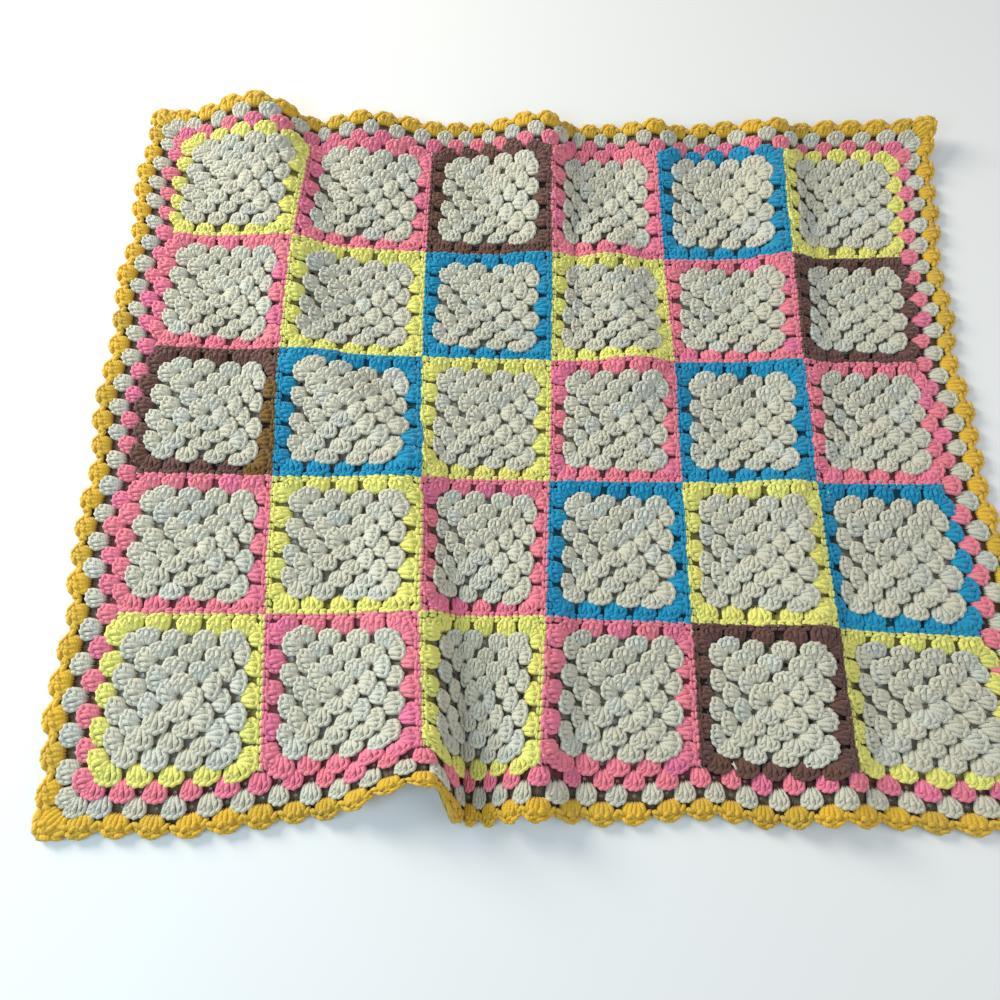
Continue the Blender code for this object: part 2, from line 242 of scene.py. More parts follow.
@dataclass(frozen=True)
class Drape:
    """The folds that the blanket lies in, worked out for many points at once."""

    middle_x: float = 0.00940  # middle of the laid blanket's box, in the frame of the seams
    middle_y: float = 0.00146
    border: Border = Border(left=1.0, right=1.05, back=0.95, front=0.97)
    fold_join: float = 3.0  # power of the heights where folds meet
    draw_narrow: int = 2  # powers of a fold's profile and run in how far it draws the cloth in
    draw_growth: int = 2
    step: float = 0.0015  # over which a slope is measured

    def ridge(self, fold: Fold, u: np.ndarray, v: np.ndarray) -> tuple[np.ndarray, np.ndarray]:
        """Works out one fold.

        Args:
            fold: The ridge.
            u: Cloth coordinates to the right.
            v: Cloth coordinates to the back.

        Returns:
            The height that it gives each point, and how far it draws it to the back.
        """
        start_u, start_v = on_cloth(fold.from_across, fold.from_down)
        end_u, end_v = on_cloth(fold.to_across, fold.to_down)
        length = math.hypot(end_u - start_u, end_v - start_v)
        along_u = (end_u - start_u) / length
        along_v = (end_v - start_v) / length
        run = (u - start_u) * along_u + (v - start_v) * along_v
        side = (v - start_v) * along_u - (u - start_u) * along_v
        width = np.where(side > 0, fold.width_right, fold.width_left)
        profile = 1 - ease(np.abs(side) / width)
        share = np.clip(run / length, 0, 1)
        if fold.fade_from:
            profile = profile * ease(1 + run / fold.fade_from)
        if fold.fade_to:
            profile = profile * ease(1 + (length - run) / fold.fade_to)
        height = fold.height_from * (1 - share) + fold.height_to * share
        draw = fold.draw_in * profile**self.draw_narrow * share**self.draw_growth
        return height * profile, draw

    def between_seams(
        self, places: list[np.ndarray], position: np.ndarray, before: float, after: float
    ) -> np.ndarray:
        """Finds places between numbered seams.

        Args:
            places: Where each seam lies, for every point.
            position: The seam number of every point, with its fraction.
            before: The step of each square before the first seam.
            after: The step of each square after the last seam.

        Returns:
            Where each point lies.
        """
        last = len(places) - 1
        lower = np.clip(np.floor(position).astype(int), 0, last - 1)
        share = np.clip(position - lower, 0, 1)
        table = np.stack(places)
        index = np.arange(len(position))
        inside = table[lower, index] * (1 - share) + table[lower + 1, index] * share
        beyond = np.minimum(position, 0) * before + np.maximum(position - last, 0) * after
        return inside + beyond

    def under(self, u: np.ndarray, v: np.ndarray) -> np.ndarray:
        """Lays points of the cloth's underside.

        Args:
            u: Cloth coordinates to the right.
            v: Cloth coordinates to the back.

        Returns:
            Their X, Y and Z, one row for each point.
        """
        across, down = in_squares(u, v)
        uprights = [through_three(*seam, down / ROWS) for seam in UPRIGHT_SEAMS]
        crossings = [through_three(*seam, across / COLUMNS) for seam in CROSS_SEAMS]
        uprights[0] = uprights[0] - bow(down)
        uprights[-1] = uprights[-1] + bow(down)
        crossings[0] = crossings[0] + bow(across)
        crossings[-1] = crossings[-1] - bow(across)
        border = self.border
        x = self.between_seams(uprights, across, SQUARE * border.left, SQUARE * border.right)
        y = self.between_seams(crossings, down, -SQUARE * border.back, -SQUARE * border.front)
        total = np.zeros(len(u))
        for fold in FOLDS:
            height, draw = self.ridge(fold, u, v)
            total += height**self.fold_join
            y = y + draw
        z = total ** (1 / self.fold_join)
        return np.stack([x - self.middle_x, y - self.middle_y, z], axis=1)

    def lay(self, flat: np.ndarray) -> np.ndarray:
        """Lays points in the folds.

        Args:
            flat: Rows of u, v and the height over the cloth's underside.

        Returns:
            Rows of X, Y and Z.
        """
        u, v, lift = flat.T
        along_u = self.under(u + self.step, v) - self.under(u - self.step, v)
        along_v = self.under(u, v + self.step) - self.under(u, v - self.step)
        normal = np.cross(along_u, along_v)
        normal /= np.linalg.norm(normal, axis=1, keepdims=True)
        return self.under(u, v) + normal * lift[:, None]


def through_three(first: float, second: float, third: float, share: np.ndarray) -> np.ndarray:
    """A smooth curve through values at 0, a half and 1."""
    return (
        first * (1 - share) * (1 - 2 * share)
        + second * 4 * share * (1 - share)
        + third * share * (2 * share - 1)
    )


class Signal:
    """A number in a tree of nodes, with Python's operators for its Math nodes."""

    def __init__(self, maker: "NodeMaker", socket: bpy.types.NodeSocket) -> None:
        """Wraps one output socket."""
        self.maker = maker
        self.socket = socket

    def math(self, operation: str, *others: "Signal | float") -> "Signal":
        """Adds a Math node of this operation, with this number first."""
        return self.maker.math(operation, self, *others)

    def __add__(self, other: "Signal | float") -> "Signal":
        """This number plus another."""
        return self.math("ADD", other)

    __radd__ = __add__

    def __mul__(self, other: "Signal | float") -> "Signal":
        """This number times another."""
        return self.math("MULTIPLY", other)

    __rmul__ = __mul__

    def __sub__(self, other: "Signal | float") -> "Signal":
        """This number less another."""
        return self.math("SUBTRACT", other)

    def __rsub__(self, other: float) -> "Signal":
        """A plain number less this one."""
        return self.maker.math("SUBTRACT", other, self)

    def sine(self) -> "Signal":
        """The sine of this number."""
        return self.math("SINE")

    def power(self, exponent: float) -> "Signal":
        """This number to a power."""
        return self.math("POWER", exponent)

    def clamped(self) -> "Signal":
        """This number, kept from 0 to 1."""
        return self.math("MAXIMUM", 0.0).math("MINIMUM", 1.0)


class NodeMaker:
    """Adds the nodes of one tree."""

    def __init__(self, tree: bpy.types.NodeTree) -> None:
        """Works on this tree."""
        self.tree = tree

    def node(self, kind: str, settings: dict, inputs: dict) -> bpy.types.Node:
        """Adds one node.

        Args:
            kind: The node's type.
            settings: Its properties, which are set first.
            inputs: Values, sockets or signals by input name or number.

        Returns:
            The node.
        """
        made = self.tree.nodes.new(kind)
        for key, value in settings.items():
            setattr(made, key, value)
        for key, value in inputs.items():
            self.feed(made.inputs[key], value)
        return made

    def feed(self, target: bpy.types.NodeSocket, value: object) -> None:
        """Links a socket or signal to an input, or sets a plain value on it.

        Args:
            target: The input.
            value: The socket, signal or plain value.
        """
        if isinstance(value, Signal):
            value = value.socket
        if isinstance(value, bpy.types.NodeSocket):
            self.tree.links.new(value, target)
        else:
            target.default_value = value

    def math(self, operation: str, *values: Signal | float) -> Signal:
        """Adds a Math node."""
        made = self.node("ShaderNodeMath", {"operation": operation}, dict(enumerate(values)))
        return Signal(self, made.outputs[0])

    def scaled(self, vector: object, share: Signal) -> bpy.types.NodeSocket:
        """A colour or vector times a number."""
        made = self.node("ShaderNodeVectorMath", {"operation": "SCALE"}, {0: vector, "Scale": share})
        return made.outputs[0]


class Shader(NodeMaker):
    """Builds one material's nodes round its Principled BSDF."""

    def __init__(self, name: str) -> None:
        """Makes an empty material.

        Args:
            name: Its name.
        """
        self.material = bpy.data.materials.new(name)
        self.material.use_nodes = True
        super().__init__(self.material.node_tree)
        self.principled = self.tree.nodes["Principled BSDF"]

    def finish(self, sockets: dict) -> bpy.types.Material:
        """Feeds the Principled BSDF's inputs by their names, and gives the material."""
        for name, value in sockets.items():
            self.feed(self.principled.inputs[name], value)
        return self.material

    def attribute(self, name: str) -> Signal:
        """Reads a number that is stored on the mesh."""
        made = self.node("ShaderNodeAttribute", {"attribute_name": name}, {})
        return Signal(self, made.outputs["Fac"])

    def noise(self, scale: float, detail: float = 2.0) -> Signal:
        """Noise on object coordinates.

        Args:
            scale: How many of its waves go into a metre.
            detail: How many finer layers it has.

        Returns:
            A number from 0 to 1.
        """
        place = self.node("ShaderNodeTexCoord", {}, {}).outputs["Object"]
        inputs = {"Vector": place, "Scale": scale, "Detail": detail}
        return Signal(self, self.node("ShaderNodeTexNoise", {}, inputs).outputs["Fac"])

    def along_and_around(self) -> tuple[Signal, Signal]:
        """The strand's own map.

        Returns:
            Metres along the strand, and turns around it.
        """
        place = self.node("ShaderNodeUVMap", {"uv_map": STRAND_MAP}, {}).outputs[0]
        parts = self.node("ShaderNodeSeparateXYZ", {}, {0: place})
        return Signal(self, parts.outputs[0]), Signal(self, parts.outputs[1])

    def mixed(self, share: Signal, first: object, second: object) -> bpy.types.NodeSocket:
        """Mixes two colours by a share from 0 to 1."""
        made = self.node("ShaderNodeMix", {"data_type": "RGBA"}, {0: share, 6: first, 7: second})
        return made.outputs[2]


@dataclass(frozen=True)
class YarnFinish:
    """Matt acrylic yarn of three plies, with a soft halo of fibre, and painted shade low in the cloth and
    between its plies.
    """

    yarn: Yarn
    colour: Colour
    variant: Colour  # what some stitches lean to, at random; for the cream and pink this is the yarn's colour in cool shade, so painted shade scattered over stitches
    variant_share: float
    crease_shade: Colour = (0.15, 0.11, 0.09)  # painted shade: the share of the yarn's colour that is left of the light in a gap
    lean_power: float = 3.0  # so that few stitches lean far
    # Shares of brightness: the grooves between the plies get painted shade; fuzz, mottle and tint vary the
    # tone at random
    least_light: float = 0.80
    ply_light: float = 0.10
    fuzz_light: float = 0.16
    mottle_light: float = 0.14
    tint_light: float = 0.05
    roughness: float = 0.86
    roughness_spread: float = 0.10
    sheen: float = 0.25
    sheen_roughness: float = 0.5
    specular: float = 0.25
    ply_length: float = 0.0062  # of one full twist
    plies: int = 3
    fuzz_scale: float = 1400.0
    mottle_scale: float = 55.0
    ply_relief: float = 0.6  # shares of the bump's depth
    fuzz_relief: float = 0.4
    bump: float = 0.5
    bump_depth: float = 0.0005

    def material(self) -> bpy.types.Material:
        """The yarn's material, made once."""
        name = f"worked_{self.yarn.value}"
        return bpy.data.materials.get(name) or self.made(Shader(name))

    def made(self, shader: Shader) -> bpy.types.Material:
        """Builds the yarn's nodes.

        Args:
            shader: The empty material.

        Returns:
            The yarn's material.
        """
        along, around = shader.along_and_around()
        turns = along * (self.plies / self.ply_length) + around * self.plies
        # Painted shade in the grooves between the plies, which also shape the bump
        ply = (turns * math.tau).sine() * 0.5 + 0.5
        fuzz = shader.noise(self.fuzz_scale)
        mottle = shader.noise(self.mottle_scale)
        # Painted shade: points low in the cloth get the dim colour, as if less light reached them
        crown = shader.attribute(PAINTED_LIGHT).clamped()
        tint = shader.attribute(TINT)
        lean = (tint.math("ABSOLUTE").power(self.lean_power) * self.variant_share).clamped()
        base = shader.mixed(lean, (*self.colour, 1), (*self.variant, 1))
        light = ply * self.ply_light + fuzz * self.fuzz_light + mottle * self.mottle_light
        lit = shader.scaled(base, light + tint * self.tint_light + self.least_light)
        painted_shade = tuple(value * share for value, share in zip(self.colour, self.crease_shade))
        height = ply * self.ply_relief + fuzz * self.fuzz_relief
        relief = {"Strength": self.bump, "Distance": self.bump_depth, "Height": height}
        shader.material.diffuse_color = (*self.colour, 1)
        return shader.finish(
            {
                "Base Color": shader.mixed(crown, (*painted_shade, 1), lit),
                "Roughness": fuzz * self.roughness_spread + (self.roughness - self.roughness_spread / 2),
                "Normal": shader.node("ShaderNodeBump", {}, relief).outputs[0],
                "Sheen Weight": self.sheen,
                "Sheen Roughness": self.sheen_roughness,
                "Specular IOR Level": self.specular,
            }
        )


FINISHES = {
    finish.yarn: finish
    for finish in (
        # The cream and pink variants are their yarns' colours in cool shade: painted shade on random
        # stitches, partly a real tone that differs at random
        YarnFinish(Yarn.CREAM, (0.61, 0.58, 0.46), (0.54, 0.59, 0.57), 0.5, crease_shade=(0.20, 0.17, 0.14)),
        YarnFinish(Yarn.YELLOW, (0.80, 0.75, 0.19), (0.68, 0.74, 0.20), 0.5),
        YarnFinish(Yarn.PINK, (0.83, 0.23, 0.29), (0.76, 0.17, 0.36), 0.7),
        YarnFinish(Yarn.BROWN, (0.14, 0.060, 0.050), (0.17, 0.085, 0.012), 0.25),
        YarnFinish(Yarn.BLUE, (0.004, 0.29, 0.50), (0.004, 0.22, 0.44), 0.5),
        YarnFinish(Yarn.GOLD, (0.74, 0.45, 0.035), (0.54, 0.37, 0.05), 0.6),
    )
}


class StrandMesh:
    """Collects strands of yarn, closed at both ends, into one mesh with a map."""

    sides = 5  # of a strand
    leaf_bow = 0.35  # how far a short stitch's tips dip, over its radius
    leaf_full = 0.45  # how far its fullest points lie from its middle, over half its length

    def __init__(self) -> None:
        """Starts an empty mesh."""
        self.points: list[Vector] = []
        self.faces: list[tuple[int, ...]] = []
        self.map: list[Place] = []

    def strand(self, path: Sequence[Vector], radii: Sequence[float]) -> None:
        """Adds one strand.

        Args:
            path: Its middle line, with both tips.
            radii: Its radius at each point between the tips.
        """
        lengths = [0.0]
        for before, after in zip(path, path[1:]):
            lengths.append(lengths[-1] + (after - before).length)
        first = len(self.points)
        self.points.append(path[0])
        for number, radius in enumerate(radii, start=1):
            along = (path[number + 1] - path[number - 1]).normalized()
            across = along.cross(Vector((0, 0, 1))).normalized()
            above = across.cross(along)
            for side in range(self.sides):
                angle = math.tau * side / self.sides
                offset = across * math.cos(angle) + above * math.sin(angle)
                self.points.append(path[number] + offset * radius)
        self.points.append(path[-1])
        last = len(self.points) - 1
        for side in range(self.sides):
            here, there = side / self.sides, (side + 1) / self.sides
            right, left = first + 1 + side, first + 1 + (side + 1) % self.sides
            self.face((first, left, right), ((0, here), (lengths[1], there), (lengths[1], here)))
            for near, far in zip(lengths[1:-2], lengths[2:-1]):
                self.face(
                    (right, left, left + self.sides, right + self.sides),
                    ((near, here), (near, there), (far, there), (far, here)),
                )
                right += self.sides
                left += self.sides
            self.face((right, left, last), ((lengths[-2], here), (lengths[-2], there), (lengths[-1], here)))

    def face(self, corners: tuple[int, ...], places: tuple[Place, ...]) -> None:
        """Adds one face with the place of each corner on the map."""
        self.faces.append(corners)
        self.map.extend(places)

    def leaf(self, middle: Vector, length: float, radius: float, turn: float) -> None:
        """Adds a short plump stitch.

        Args:
            middle: Its middle.
            length: From tip to tip.
            radius: Its radius at its fullest.
            turn: Its direction in the cloth, in radians from +X.
        """
        half = Vector((math.cos(turn) * length, math.sin(turn) * length, 0)) / 2
        bow = Vector((0, 0, radius * self.leaf_bow))
        full = half * self.leaf_full
        path = (middle - half - bow, middle - full, middle + full, middle + half - bow)
        self.strand(path, (radius, radius))

    def object(self, name: str) -> bpy.types.Object:
        """Makes an object of the strands.

        Args:
            name: The object's name.

        Returns:
            The object, which is in no collection yet.
        """
        data = bpy.data.meshes.new(name)
        data.from_pydata(self.points, [], self.faces)
        layer = data.uv_layers.new(name=STRAND_MAP)
        layer.uv.foreach_set("vector", np.array(self.map, dtype=np.float32).ravel())
        return bpy.data.objects.new(name, data)


@dataclass
class FanForm:
    """Strands that fan from one space, as a cluster and a shell have them."""

    seed: int
    strands: int = 5
    radius: float = 0.0020
    thinnest: float = 0.88  # over the radius
    thickest: float = 1.08
    base_lift: float = 0.0020
    crown: float = 0.0028  # how high the middle strand rises over its base
    fall: float = 0.50  # share of that rise that the outer strands lack
    wave: float = 0.72  # share of a half wave that a strand's rise follows
    uneven: float = 0.0003  # most that a point of a strand lies off its place

    def lift(self, fan: float, run: float) -> float:
        """Height of a strand's middle over the cloth's underside."""
        rise = math.sin(math.pi * min(run * self.wave, 1.0))
        return self.base_lift + self.crown * (1 - self.fall * fan * fan) * rise

    def fans(self) -> list[float]:
        """Each strand's place in the fan, from -1 to 1."""
        return [2 * number / (self.strands - 1) - 1 for number in range(self.strands)]

    def radii(self, path: Sequence[Vector], chance: random.Random) -> list[float]:
        """A radius for each point of a strand between its tips."""
        return [self.radius * chance.uniform(self.thinnest, self.thickest) for _ in path[1:-1]]


@dataclass
class ClusterForm(FanForm):
    """Three double crochets that fan from one space, as five strands under their top chain."""

    length: float = CLUSTER_LENGTH
    base_half: float = 0.0027
    lower_half: float = 0.0047
    middle_half: float = 0.0062
    top_half: float = 0.0066
    tip_half: float = 0.0050
    shoulder: float = 0.17  # how much shorter the outer strands are
    weave: float = 0.0004  # how far neighbours pass over and under each other
    wraps: tuple[Place, ...] = ((-0.66, 0.56), (0.0, 0.60), (0.66, 0.55))  # fan, and share of the length
    wrap_length: float = 0.0058
    wrap_radius: float = 0.0012
    wrap_turn: tuple[float, float, float] = (56.0, 16.0, 9.0)  # degrees: mean, less towards the right, sway
    wrap_sway: float = 0.03
    wrap_stand: float = 0.62  # how far it stands over a strand's middle, over the radius
    heads: tuple[float, ...] = (-0.84, -0.29, 0.29, 0.84)
    head_length: float = 0.0066
    head_radius: float = 0.0019
    head_turn: tuple[float, float, float] = (20.0, 42.0, 6.0)
    head_run: float = 0.9
    head_back: float = 0.8  # from the strand's tip, over the head's radius
    head_stand: float = 0.35

    def object(self, name: str) -> bpy.types.Object:
        """Builds the cluster.

        Args:
            name: The object's name.

        Returns:
            The cluster, with its base at the origin and its top towards +Y.
        """
        chance = random.Random(self.seed)
        mesh = StrandMesh()
        for number, fan in enumerate(self.fans()):
            path = self.path(fan, -1 if number % 2 == 0 else 1, chance)
            mesh.strand(path, self.radii(path, chance))
        for fan, run in self.wraps:
            turn = self.turn(fan, self.wrap_turn, chance)
            y = self.length * (run + chance.uniform(-self.wrap_sway, self.wrap_sway))
            z = self.lift(fan, run) + self.radius * self.wrap_stand
            mesh.leaf(Vector((fan * self.middle_half, y, z)), self.wrap_length, self.wrap_radius, turn)
        for fan in self.heads:
            turn = self.turn(fan, self.head_turn, chance)
            y = self.reach(fan) - self.head_radius * self.head_back
            z = self.lift(fan, self.head_run) + self.radius * self.head_stand
            mesh.leaf(Vector((fan * self.top_half, y, z)), self.head_length, self.head_radius, turn)
        return mesh.object(name)

    def turn(self, fan: float, degrees: tuple[float, float, float], chance: random.Random) -> float:
        """A stitch's direction in radians, from its mean, its change over the fan and its sway."""
        mean, change, sway = degrees
        return math.radians(mean - change * fan + chance.uniform(-sway, sway))

    def reach(self, fan: float) -> float:
        """How far a strand at this place in the fan reaches."""
        return self.length * (1 - self.shoulder * fan * fan)

    def path(self, fan: float, over: int, chance: random.Random) -> list[Vector]:
        """Works out one strand.

        Args:
            fan: Its place in the fan, from -1 to 1.
            over: 1 where it starts over its neighbours, -1 where it starts under them.
            chance: Where its unevenness comes from.

        Returns:
            Its middle line.
        """
        halves = {
            0.0: self.base_half,
            0.24: self.lower_half,
            0.55: self.middle_half,
            0.82: self.top_half,
            1.0: self.tip_half,
        }
        path = []
        for run, half in halves.items():
            x = fan * half + chance.uniform(-self.uneven, self.uneven)
            z = self.lift(fan, run) + self.weave * over * math.cos(math.pi * run)
            path.append(Vector((x, self.reach(fan) * run, z)))
        return path


@dataclass
class ChainForm:
    """One chain stitch of a square's edge: two leaves that meet in a point."""

    length: float = 0.0068
    radius: float = 0.0014
    spread: float = 0.0011
    lean: float = 11.0
    lift: float = 0.0049
    stagger: float = 0.0002  # how much higher the outer leaf lies

    def object(self, name: str) -> bpy.types.Object:
        """Builds the chain stitch.

        Args:
            name: The object's name.

        Returns:
            The stitch, along X at the origin.
        """
        mesh = StrandMesh()
        for side in (-1, 1):
            place = Vector((0, side * self.spread, self.lift + self.stagger * side))
            mesh.leaf(place, self.length, self.radius, math.radians(-side * self.lean))
        return mesh.object(name)


@dataclass
class ShellForm(FanForm):
    """A pointed shell of the last round, with the chain that edges it."""

    radius: float = 0.0024
    thinnest: float = 0.90
    base_lift: float = 0.0024
    crown: float = 0.0026
    fall: float = 0.45
    depth: float = 0.0165  # from its base to its tip
    valley: float = SHELL_TIP - SHELL_VALLEY
    edge_back: float = 1.5  # from the edge to its strands' tips, over the chain's radius
    # Shares of the way to its edge, and half its width there
    halves: tuple[Place, ...] = ((0.0, 0.0030), (0.22, 0.0050), (0.52, 0.0064), (0.82, 0.0056), (1.0, 0.0036))
    wraps: tuple[Place, ...] = ((-0.5, 0.60), (0.45, 0.66))  # fan, and share of the depth
    wrap_half: float = 0.0064
    wrap_length: float = 0.0066
    wrap_radius: float = 0.0018
    wrap_turn: tuple[float, float] = (25.0, 80.0)
    wrap_stand: float = 0.6  # how far it stands over a strand's middle, over the radius
    chains: int = 5
    chain_length: float = 0.0092
    chain_radius: float = 0.0019
    chain_lift: float = 0.0036
    chain_wave: float = 0.0007  # how much a chain's leaves pass over and under each other
    chain_spread: float = 0.75  # how far they lie apart, over the chain's radius
    chain_lean: float = 11.0
    chain_sway: float = 4.0
    slope_step: float = 0.001

    def edge(self, x: float) -> float:
        """How far the shell reaches at a place along the edge."""
        phase = min(abs(x) / HALF_PITCH, 1.0)
        return self.depth - self.valley * phase**SHELL_BLUNTNESS

    def slope(self, x: float) -> float:
        """The edge's direction there, in radians."""
        step = self.slope_step
        return math.atan((self.edge(x + step) - self.edge(x - step)) / (2 * step))

    def object(self, name: str) -> bpy.types.Object:
        """Builds the shell.

        Args:
            name: The object's name.

        Returns:
            The shell, with its base at the origin and its tip towards +Y.
        """
        chance = random.Random(self.seed)
        mesh = StrandMesh()
        for fan in self.fans():
            path = []
            for run, half in self.halves:
                x = fan * half + chance.uniform(-self.uneven, self.uneven)
                y = (self.edge(x) - self.chain_radius * self.edge_back) * run
                path.append(Vector((x, y, self.lift(fan, run))))
            mesh.strand(path, self.radii(path, chance))
        for fan, run in self.wraps:
            x = fan * self.wrap_half
            place = Vector((x, self.edge(x) * run, self.lift(fan, run) + self.radius * self.wrap_stand))
            turn = math.radians(chance.uniform(*self.wrap_turn))
            mesh.leaf(place, self.wrap_length, self.wrap_radius, turn)
        for number in range(self.chains):
            x = PITCH * ((number + 0.5) / self.chains - 0.5)
            over = self.chain_wave if number % 2 else -self.chain_wave
            for side in (-1, 1):
                y = self.edge(x) - self.chain_radius * (1.0 - self.chain_spread * side)
                sway = chance.uniform(-self.chain_sway, self.chain_sway)
                turn = self.slope(x) - side * math.radians(self.chain_lean + sway)
                place = Vector((x, y, self.chain_lift + over * side))
                mesh.leaf(place, self.chain_length, self.chain_radius, turn)
        return mesh.object(name)


@dataclass
class WhipForm:
    """One whip stitch over a seam."""

    length: float = 0.0046
    radius: float = 0.0005
    lift: float = 0.0054
    turn: float = 52.0

    def object(self, name: str) -> bpy.types.Object:
        """Builds the whip stitch.

        Args:
            name: The object's name.

        Returns:
            The stitch, across X at the origin.
        """
        mesh = StrandMesh()
        mesh.leaf(Vector((0, 0, self.lift)), self.length, self.radius, math.radians(self.turn))
        return mesh.object(name)


class Stitch(NamedTuple):
    """Where one worked form goes on the flat cloth."""

    u: float
    v: float
    turn: float
    form: Form
    tint: float
    width: float = 1.0
    length: float = 1.0


class Space(NamedTuple):
    """An open space of the flat cloth."""

    u: float
    v: float
    half: float


@dataclass
class Worker:
    """Puts worked forms on the flat cloth with Geometry Nodes, and lays them in the folds."""

    drape: Drape = field(default_factory=Drape)
    seed: int = 11
    sway: float = 0.10  # most that a stitch turns from its place, in radians
    spread: float = 0.06  # most that its size differs
    forms: bpy.types.Collection | None = None
    tree: bpy.types.GeometryNodeTree | None = None

    def prepare(self) -> None:
        """Makes the worked forms and the tree that places them."""
        self.forms = bpy.data.collections.new("worked_forms")
        for item in (
            ClusterForm(seed=3).object("form_0_cluster_a"),
            ClusterForm(seed=8, shoulder=0.20, top_half=0.0063).object("form_1_cluster_b"),
            ClusterForm(seed=15, shoulder=0.14, crown=0.0031).object("form_2_cluster_c"),
            ChainForm().object("form_3_chain"),
            ShellForm(seed=21).object("form_4_shell"),
            WhipForm().object("form_5_whip"),
        ):
            self.forms.objects.link(item)
        self.tree = self.placing_tree()

    def put_away(self) -> None:
        """Deletes the worked forms, once every piece is made."""
        for item in list(self.forms.objects):
            bpy.data.objects.remove(item, do_unlink=True)

    def placing_tree(self) -> bpy.types.GeometryNodeTree:
        """Builds the tree that puts a form on each point.

        Returns:
            The tree.
        """
        tree = bpy.data.node_groups.new("worked_stitches", "GeometryNodeTree")
        tree.interface.new_socket("Geometry", in_out="OUTPUT", socket_type="NodeSocketGeometry")
        for name, kind in (
            ("Geometry", "Geometry"),
            ("Forms", "Collection"),
            ("Yarn", "Material"),
            ("Sway", "Float"),
            ("Spread", "Float"),
            ("Seed", "Int"),
        ):
            tree.interface.new_socket(name, in_out="INPUT", socket_type=f"NodeSocket{kind}")
        maker = NodeMaker(tree)
        start = maker.node("NodeGroupInput", {}, {}).outputs
        sway, spread, seed = (Signal(maker, start[name]) for name in ("Sway", "Spread", "Seed"))
        number = {"data_type": "FLOAT"}

        def stored(name: str, kind: str) -> bpy.types.NodeSocket:
            """What is stored on the points under this name."""
            made = maker.node("GeometryNodeInputNamedAttribute", {"data_type": kind}, {"Name": name})
            return made.outputs["Attribute"]

        def chance(low: Signal, high: Signal, extra: int) -> Signal:
            """A random number for each point, from a seed of its own."""
            made = maker.node("FunctionNodeRandomValue", number, {2: low, 3: high, "Seed": seed + extra})
            return Signal(maker, made.outputs[1])

        turn = Signal(maker, stored("turn", "FLOAT")) + chance(sway * -1.0, sway, 1)
        facing = maker.node("ShaderNodeCombineXYZ", {}, {2: turn})
        rotation = maker.node("FunctionNodeEulerToRotation", {}, {0: facing.outputs[0]})
        size = maker.scaled(stored("size", "FLOAT_VECTOR"), chance(1.0 - spread, 1.0 + spread, 2))
        children = {"Separate Children": True, "Reset Children": True}
        forms = maker.node("GeometryNodeCollectionInfo", {}, {"Collection": start["Forms"], **children})
        placed = maker.node(
            "GeometryNodeInstanceOnPoints",
            {},
            {
                "Points": start["Geometry"],
                "Instance": forms.outputs[0],
                "Pick Instance": True,
                "Instance Index": stored("form", "INT"),
                "Rotation": rotation.outputs[0],
                "Scale": size,
            },
        )
        real = maker.node("GeometryNodeRealizeInstances", {}, {0: placed.outputs[0]})
        smooth = maker.node("GeometryNodeSetShadeSmooth", {}, {0: real.outputs[0]})
        yarn = {"Geometry": smooth.outputs[0], "Material": start["Yarn"]}
        dressed = maker.node("GeometryNodeSetMaterial", {}, yarn)
        maker.node("NodeGroupOutput", {}, {0: dressed.outputs[0]})
        return tree

    def work(
        self, name: str, stitches: Sequence[Stitch], yarn: Yarn, nodes: Sequence[str]
    ) -> bpy.types.Object:
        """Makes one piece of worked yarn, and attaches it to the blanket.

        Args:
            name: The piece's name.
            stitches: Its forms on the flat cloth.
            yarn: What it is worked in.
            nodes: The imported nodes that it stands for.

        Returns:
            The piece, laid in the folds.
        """
        points = bpy.data.meshes.new(f"{name}_points")
        points.from_pydata([(s.u, s.v, 0) for s in stitches], [], [])
        columns = {
            "turn": ("FLOAT", "value", [s.turn for s in stitches]),
            "form": ("INT", "value", [int(s.form) for s in stitches]),
            TINT: ("FLOAT", "value", [s.tint for s in stitches]),
            "size": ("FLOAT_VECTOR", "vector", [x for s in stitches for x in (s.width, s.length, 1.0)]),
        }
        for key, (kind, member, values) in columns.items():
            points.attributes.new(key, kind, "POINT").data.foreach_set(member, values)
        carrier = in_scene(f"{name}_carrier", points)
        modifier = carrier.modifiers.new("stitches", "NODES")
        modifier.node_group = self.tree
        values = {
            "Forms": self.forms,
            "Yarn": FINISHES[yarn].material(),
            "Sway": self.sway,
            "Spread": self.spread,
            "Seed": self.seed,
        }
        for item in self.tree.interface.items_tree:
            if item.in_out == "INPUT" and item.name in values:
                modifier[item.identifier] = values[item.name]
        depsgraph = bpy.context.evaluated_depsgraph_get()
        data = bpy.data.meshes.new_from_object(carrier.evaluated_get(depsgraph))
        bpy.data.objects.remove(carrier, do_unlink=True)
        data.name = name
        for key in ("turn", "form", "size"):
            if key in data.attributes:
                data.attributes.remove(data.attributes[key])
        piece = in_scene(name, data)
        self.lay(piece)
        hand_in(piece, yarn, nodes)
        return piece

    def lay(self, piece: bpy.types.Object) -> None:
        """Lays a piece in the folds, and stores how far each point stands from the deepest layer, as the
        share of painted light that its colour gets.

        Args:
            piece: The piece, on the flat cloth.
        """
        data = piece.data
        flat = np.empty(len(data.vertices) * 3, dtype=np.float32)
        data.vertices.foreach_get("co", flat)
        flat = flat.reshape(-1, 3).astype(float)
        # Painted shade: the share of light that a point's colour gets, from its height over the deepest layer
        crown = data.attributes.new(PAINTED_LIGHT, "FLOAT", "POINT")
        crown.data.foreach_set("value", (np.abs(flat[:, 2] - DEEP) / OPEN).astype(np.float32))
        laid = self.drape.lay(flat)
        data.vertices.foreach_set("co", laid.astype(np.float32).ravel())
        data.update()


